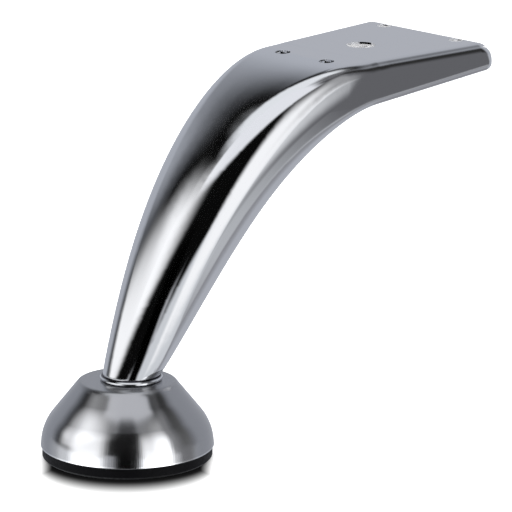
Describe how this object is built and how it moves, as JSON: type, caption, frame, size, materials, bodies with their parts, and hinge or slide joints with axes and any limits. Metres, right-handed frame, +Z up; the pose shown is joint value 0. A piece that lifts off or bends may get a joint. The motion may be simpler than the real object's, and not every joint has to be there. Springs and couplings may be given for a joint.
{
  "type": "curved furniture leg",
  "caption": "Tapered chrome tube that leans forward from a bell-shaped foot with a black pad and bends over into a flat hollow fixing plate with screw holes and an open underside.",
  "frame": {"origin": "middle of the underside of the floor pad", "axes": "+X from the foot to the free end of the plate, +Z up to the furniture, mirror plane Y = 0"},
  "size_m": [0.1865, 0.061, 0.13],
  "materials": {
    "leg": "polished",
    "ring": "polished",
    "cup": "satin",
    "pad": "matte",
    "fixings": "zinc plated"
  },
  "bodies": {
    "root": {"leg_shell": "leg", "end_plug": "ring", "foot_cup": "cup", "foot_pad": "pad", "foot_washer": "fixings", "foot_bolt": "fixings"}
  },
  "joints": []
}
